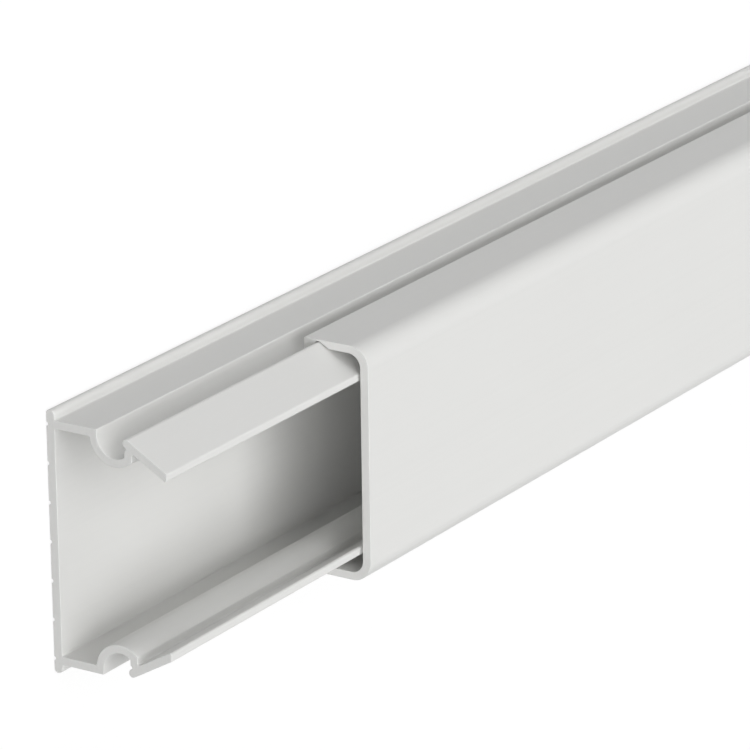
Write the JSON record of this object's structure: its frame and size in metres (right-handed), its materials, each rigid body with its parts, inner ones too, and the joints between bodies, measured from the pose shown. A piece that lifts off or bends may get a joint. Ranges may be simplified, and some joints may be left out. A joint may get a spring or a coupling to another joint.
{
  "type": "cord cover raceway",
  "caption": "Wall raceway for cords: a flat-backed extruded channel with a clip groove along each flange, and a smooth U-shaped cover that hooks into the grooves and slides along them.",
  "frame": {"origin": "centre of the channel's flat back face, which lies on the floor or against the wall", "axes": "+X along the length, away from the end that the cover is set back from; +Y across the channel; +Z out of the back face, towards the cover"},
  "size_m": [0.4427, 0.035, 0.0196],
  "materials": {
    "white_pvc_channel": "satin",
    "white_pvc_cover": "satin"
  },
  "bodies": {
    "base": {"base_channel": "white_pvc_channel"},
    "cover": {"clip_on_cover": "white_pvc_cover"}
  },
  "joints": [
    {"name": "cover_slide", "type": "slide", "parent": "base", "child": "cover", "axis": [1, 0, 0], "range_m": [-0.0427, 0.36]}
  ]
}
